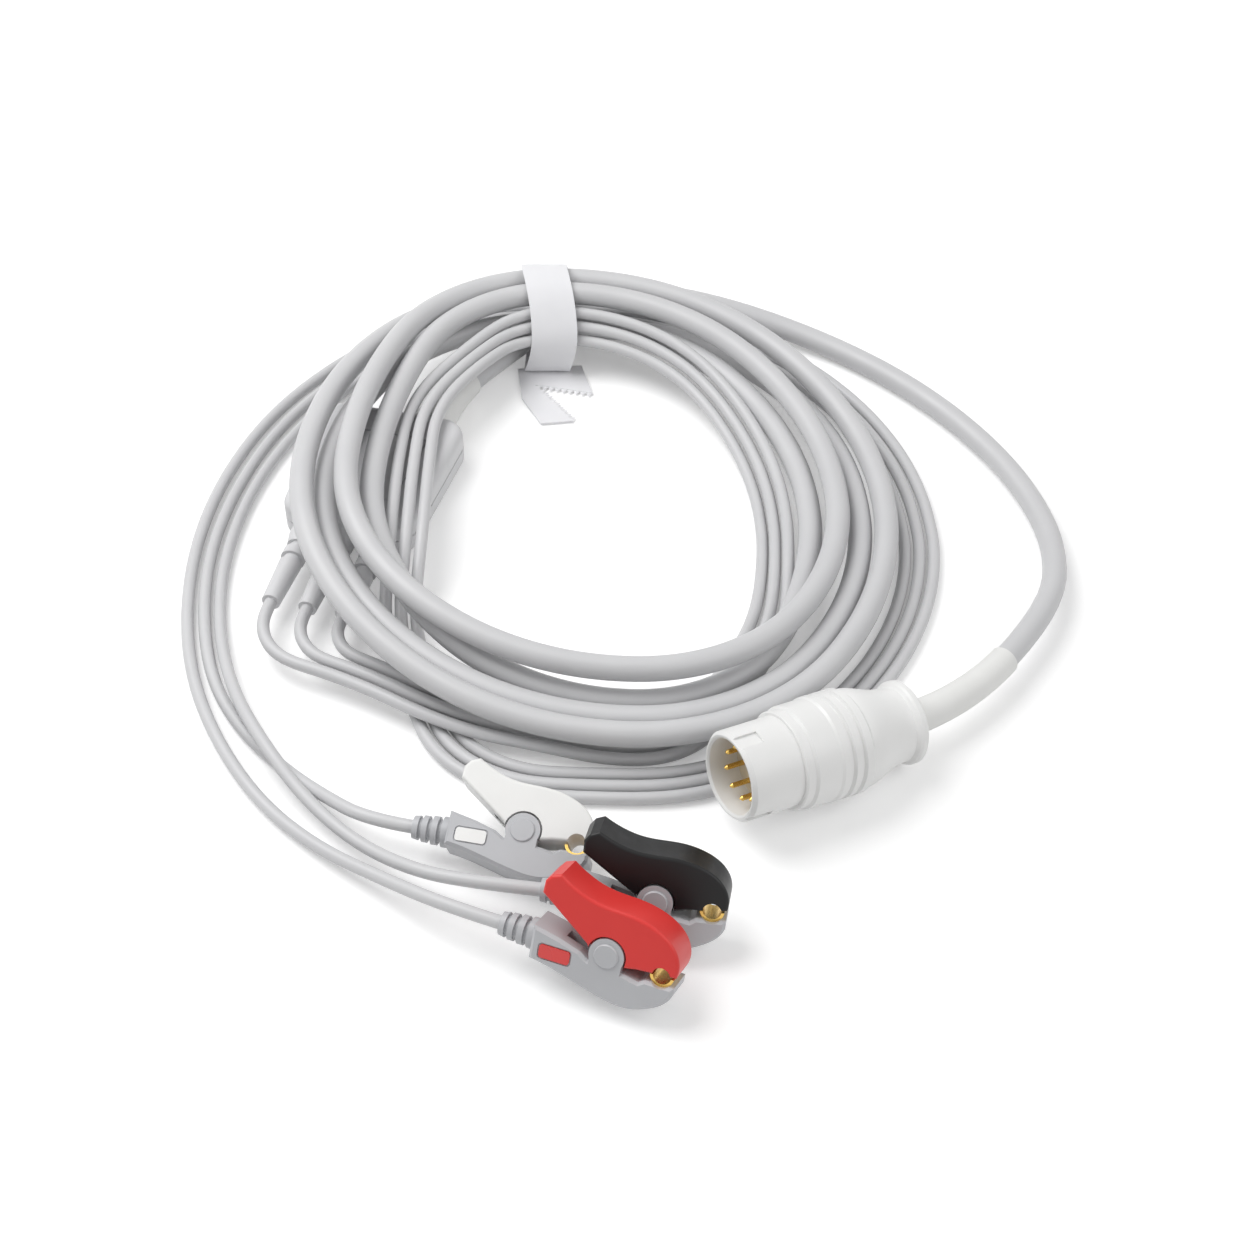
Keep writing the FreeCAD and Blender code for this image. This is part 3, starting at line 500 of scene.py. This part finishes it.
def plain_mesh(obj):
    """The evaluated object as a plain mesh, and the object taken away again."""
    bpy.context.scene.collection.objects.link(obj)
    graph = bpy.context.evaluated_depsgraph_get()
    mesh = bpy.data.meshes.new_from_object(obj.evaluated_get(graph), depsgraph=graph)
    bpy.data.objects.remove(obj)
    return mesh


def plain_piece(name, mesh):
    """A mesh piece, already of the tape's film, made part of the cable's body."""
    made = bpy.data.objects.new(name, mesh)
    bpy.context.scene.collection.objects.link(made)
    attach(made, "cable")
    return made


def film_piece(name, film):
    """A piece of film from a finished bmesh, riding with the cable."""
    mesh = bpy.data.meshes.new(name)
    film.to_mesh(mesh)
    film.free()
    mesh.shade_smooth()
    mesh.set_sharp_from_angle(angle=FILM_CREASE)
    mesh.materials.append(TIE_FILM)
    return plain_piece(name, mesh)


print("film creases past", round(math.degrees(FILM_CREASE)), "degrees")

# %% Band of the tape
TAPE_WIDTH = 11.2
TAPE_THICK = 0.35
LOOP_STEPS = 8
BAND_LOOP = [
    (-19.4, 87.6, 1.4), (-17.6, 86.6, 8.4), (-17.2, 88.2, 13.2), (-17.8, 92.8, 18.2),
    (-19.0, 98.4, 21.6), (-20.2, 104.6, 22.0), (-20.2, 110.0, 18.2), (-19.4, 112.4, 11.6),
    (-18.6, 116.4, 5.4), (-18.2, 119.0, 2.4), (-18.2, 116.6, 0.2), (-18.8, 104.0, 0.2),
    (-19.6, 90.6, 0.2),
]


def smooth_loop(points):
    """Points along the closed NURBS line of these control points."""
    curve = bpy.data.curves.new("tape_loop", "CURVE")
    curve.dimensions = "3D"
    spline = curve.splines.new("NURBS")
    spline.points.add(len(points) - 1)
    for point, p in zip(spline.points, points):
        point.co = (*p, 1.0)
    spline.use_cyclic_u = True
    spline.order_u = CORD_ORDER
    spline.resolution_u = LOOP_STEPS
    return [v.co.copy() for v in plain_mesh(bpy.data.objects.new("tape_loop", curve)).vertices]


line = smooth_loop(BAND_LOOP)
half = Vector((TAPE_WIDTH / 2, 0, 0))
film = bmesh.new()
rings = []
for before, here, after in zip(line[-1:] + line, line, line[1:] + line[:1]):
    along = after - before
    inward = Vector((0, along.z, -along.y)).normalized() * TAPE_THICK
    ring = [here - half, here + half, here + half + inward, here - half + inward]
    rings.append([film.verts.new(place(p)) for p in ring])
for ring, following in zip(rings, rings[1:] + rings[:1]):
    for i in range(len(ring)):
        film.faces.new((ring[i - 1], ring[i], following[i], following[i - 1]))
band = film_piece("tape_band", film)
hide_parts("cable_tie")
print("band of", len(line), "steps")

# %% [markdown]
# The tape's loose end lies flat on the table, torn off on a saw-toothed edge. The sheet is one
# outline with a thickness. The teeth could be corners of that outline, but they repeat, so a small
# node tree sets one flat tooth along a line again and again.

# %% Teeth of the torn tape
TOOTH_SIDES = 4


def tooth_row(name):
    """A node tree that sets flat teeth along a straight line."""
    tree = bpy.data.node_groups.new(name, "GeometryNodeTree")
    sockets = [("Start", "Vector"), ("End", "Vector"), ("Turn", "Rotation"), ("Teeth", "Int"),
               ("Half Width", "Float"), ("Length", "Float"), ("Flatness", "Float"),
               ("Material", "Material")]
    for label, kind in sockets:
        tree.interface.new_socket(label, in_out="INPUT", socket_type="NodeSocket" + kind)
    tree.interface.new_socket("Geometry", in_out="OUTPUT", socket_type="NodeSocketGeometry")
    given = add(tree, "NodeGroupInput").outputs
    line = add(tree, "GeometryNodeCurvePrimitiveLine", {"Start": given["Start"], "End": given["End"]})
    row = add(tree, "GeometryNodeResampleCurve", {"Curve": line.outputs["Curve"], "Count": given["Teeth"]})
    tooth = add(tree, "GeometryNodeMeshCone",
                {"Vertices": TOOTH_SIDES, "Radius Bottom": given["Half Width"], "Depth": given["Length"]})
    size = add(tree, "ShaderNodeCombineXYZ", {"X": 1.0, "Y": given["Flatness"], "Z": 1.0})
    teeth = add(tree, "GeometryNodeInstanceOnPoints",
                {"Points": row.outputs["Curve"], "Instance": tooth.outputs["Mesh"],
                 "Rotation": given["Turn"], "Scale": size.outputs["Vector"]})
    solid = add(tree, "GeometryNodeRealizeInstances", {"Geometry": teeth.outputs["Instances"]})
    coated = add(tree, "GeometryNodeSetMaterial",
                 {"Geometry": solid.outputs["Geometry"], "Material": given["Material"]})
    add(tree, "NodeGroupOutput", {"Geometry": coated.outputs["Geometry"]})
    return tree


TOOTH_ROW = tooth_row("tooth_row")
print("nodes in the row of teeth", len(TOOTH_ROW.nodes))

# %% Torn end of the tape
SHEET_LOW, SHEET_HIGH = 0.15, 0.6
SHEET_OUTLINE = [
    (-26.8, 90.2), (-25.4, 78.6), (-20.5, 68.9), (-12.6, 69.9), (-22.4, 83.8), (-8.0, 80.6),
    (-10.9, 91.5),
]
INTO_NOTCH = (1, -1, 0)
# Each row of teeth: where it starts, where it ends, and how many teeth it has
TOOTH_ROWS = [((-21.8, 82.9), (-13.2, 70.7), 10), ((-21.4, 83.6), (-8.8, 80.8), 9)]
TOOTH_HALF_WIDTH = 0.85
TOOTH_LENGTH = 1.5
TOOTH_FLATNESS = 0.26

film = bmesh.new()
lid = film.faces.new([film.verts.new(place((x, y, SHEET_LOW))) for x, y in SHEET_OUTLINE])
raised = bmesh.ops.extrude_face_region(film, geom=[lid])["geom"]
rise = Vector((0, 0, (SHEET_HIGH - SHEET_LOW) / 1000))
bmesh.ops.translate(film, vec=rise, verts=[v for v in raised if isinstance(v, bmesh.types.BMVert)])
bmesh.ops.recalc_face_normals(film, faces=film.faces)
film_piece("tape_end", film)
print("torn end of", len(SHEET_OUTLINE), "corners")

# %% Rows of teeth
sheet_middle = (SHEET_LOW + SHEET_HIGH) / 2
for number, (start, end, teeth) in enumerate(TOOTH_ROWS):
    along = direction((end[0] - start[0], end[1] - start[1], 0)).normalized()
    outward = Vector((0, 0, 1)).cross(along)
    if direction(INTO_NOTCH).dot(outward) < 0:
        outward.negate()
    up = outward.cross(along)
    values = {"Start": place((*start, sheet_middle)), "End": place((*end, sheet_middle)),
              "Turn": Matrix((along, up, outward)).transposed().to_euler(), "Teeth": teeth,
              "Half Width": TOOTH_HALF_WIDTH / 1000, "Length": TOOTH_LENGTH / 1000,
              "Flatness": TOOTH_FLATNESS, "Material": TIE_FILM}
    carrier = bpy.data.objects.new("tooth_carrier", bpy.data.meshes.new("tooth_carrier"))
    modifier = carrier.modifiers.new("teeth", "NODES")
    modifier.node_group = TOOTH_ROW
    for item in TOOTH_ROW.interface.items_tree:
        if item.in_out == "INPUT":
            modifier[item.identifier] = values[item.name]
    row_mesh = plain_mesh(carrier)
    plain_piece("tape_teeth_%d" % (number + 1), row_mesh)
    print("teeth", teeth, "vertices", len(row_mesh.vertices))

# %% [markdown]
# A plain pale table, as in a product picture. It could be lit white by strong lamps, but they would
# burn out the cable, so the table glows a little to the camera and to reflections, and still takes
# the soft shadow under the cords. The glow rises with the distance from the middle, so that the
# far table runs into the white room with no edge.

# %% Table
TABLE_HALF = 3.0
TABLE_TOP = -0.0002
TABLE_WHITE = "#F2F2F2"
TABLE_ROUGHNESS = 0.9
TABLE_SPECULAR = 0.1
LIFT_FROM, LIFT_TO = 0.2, 0.6
LIFT_NEAR, LIFT_FAR = 0.25, 0.75
WHITE_LIGHT = (1, 1, 1, 1)


def seen_by_eye(tree):
    """1 for a ray from the camera, a reflection or a clear piece, and 0 for the light on the object."""
    rays = add(tree, "ShaderNodeLightPath")
    seen = add(tree, "ShaderNodeMath", {0: rays.outputs["Is Camera Ray"], 1: rays.outputs["Is Glossy Ray"]},
               operation="MAXIMUM")
    seen = add(tree, "ShaderNodeMath", {0: seen.outputs[0], 1: rays.outputs["Is Transmission Ray"]},
               operation="MAXIMUM")
    return seen.outputs[0]


table_mesh = bpy.data.meshes.new("table")
sheet = bmesh.new()
bmesh.ops.create_grid(sheet, x_segments=1, y_segments=1, size=TABLE_HALF)
sheet.to_mesh(table_mesh)
sheet.free()
table = bpy.data.objects.new("table", table_mesh)
table.location = (0, 0, TABLE_TOP)
bpy.context.scene.collection.objects.link(table)

table_finish = bpy.data.materials.new("white_table")
table_finish.use_nodes = True
tree = table_finish.node_tree
surface = tree.nodes["Principled BSDF"]
surface.inputs["Base Color"].default_value = linear(TABLE_WHITE)
surface.inputs["Roughness"].default_value = TABLE_ROUGHNESS
surface.inputs["Specular IOR Level"].default_value = TABLE_SPECULAR
surface.inputs["Emission Color"].default_value = WHITE_LIGHT
spot = add(tree, "ShaderNodeTexCoord").outputs["Object"]
away = add(tree, "ShaderNodeVectorMath", {0: spot}, operation="LENGTH").outputs["Value"]
lift = add(tree, "ShaderNodeMapRange",
           {"Value": away, "From Min": LIFT_FROM, "From Max": LIFT_TO,
            "To Min": LIFT_NEAR, "To Max": LIFT_FAR})
seen_lift = add(tree, "ShaderNodeMath", {0: lift.outputs["Result"], 1: seen_by_eye(tree)},
                operation="MULTIPLY")
tree.links.new(seen_lift.outputs[0], surface.inputs["Emission Strength"])
table_mesh.materials.append(table_finish)
print("table", 2 * TABLE_HALF, "m wide")

# %% [markdown]
# Two large round lamps and an even white room light the cable: the key from behind on the left, as
# the shadows in the picture lie to the right, and a weaker fill from the front right. The room is
# brighter to the camera and to reflections than it is as a lamp, which keeps pale plastics from
# burning out against a white ground.

# %% Lamps and world
LAMP_SIZE = 0.6
LAMP_AIM = Vector((0, 0, 0))
KEY_AT, KEY_POWER = Vector((-350, 150, 620)), 4.0
FILL_AT, FILL_POWER = Vector((450, -250, 500)), 1.2
ROOM_LIGHT, ROOM_SEEN = 0.38, 1.0


def lamp(name, at, power):
    """A round area lamp at a layout point, turned to the middle of the layout."""
    made = bpy.data.objects.new(name, bpy.data.lights.new(name, "AREA"))
    made.data.shape = "DISK"
    made.data.size = LAMP_SIZE
    made.data.energy = power
    made.location = place(at)
    made.rotation_euler = (place(LAMP_AIM) - made.location).to_track_quat("-Z", "Y").to_euler()
    bpy.context.scene.collection.objects.link(made)


lamp("key", KEY_AT, KEY_POWER)
lamp("fill", FILL_AT, FILL_POWER)

world = bpy.data.worlds.new("studio")
bpy.context.scene.world = world
world.use_nodes = True
sky = world.node_tree
strength = add(sky, "ShaderNodeMapRange",
               {"Value": seen_by_eye(sky), "To Min": ROOM_LIGHT, "To Max": ROOM_SEEN})
sky.links.new(strength.outputs["Result"], sky.nodes["Background"].inputs["Strength"])
sky.nodes["Background"].inputs["Color"].default_value = WHITE_LIGHT
bpy.context.scene.view_settings.view_transform = "Standard"
print("lamps", KEY_POWER, "and", FILL_POWER, "W, room", ROOM_LIGHT)
